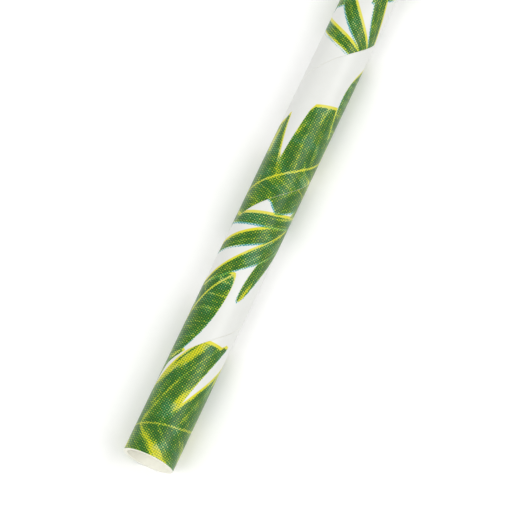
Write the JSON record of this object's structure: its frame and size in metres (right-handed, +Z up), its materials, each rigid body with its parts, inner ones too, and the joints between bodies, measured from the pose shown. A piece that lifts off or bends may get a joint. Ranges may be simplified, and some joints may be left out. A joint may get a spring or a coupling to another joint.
{
  "type": "paper drinking straw",
  "caption": "Straight drinking straw, a tube wound from glued paper strips with an open bore, square-cut ends and a green leaf print.",
  "frame": {"origin": "centre of the straw's lowest line, on the surface that it lies on", "axes": "+X along the straw from its front end to its back end, +Z up"},
  "size_m": [0.197, 0.006, 0.006],
  "materials": {
    "printed_paper": "satin"
  },
  "bodies": {
    "root": {"straw": "printed_paper"}
  },
  "joints": []
}
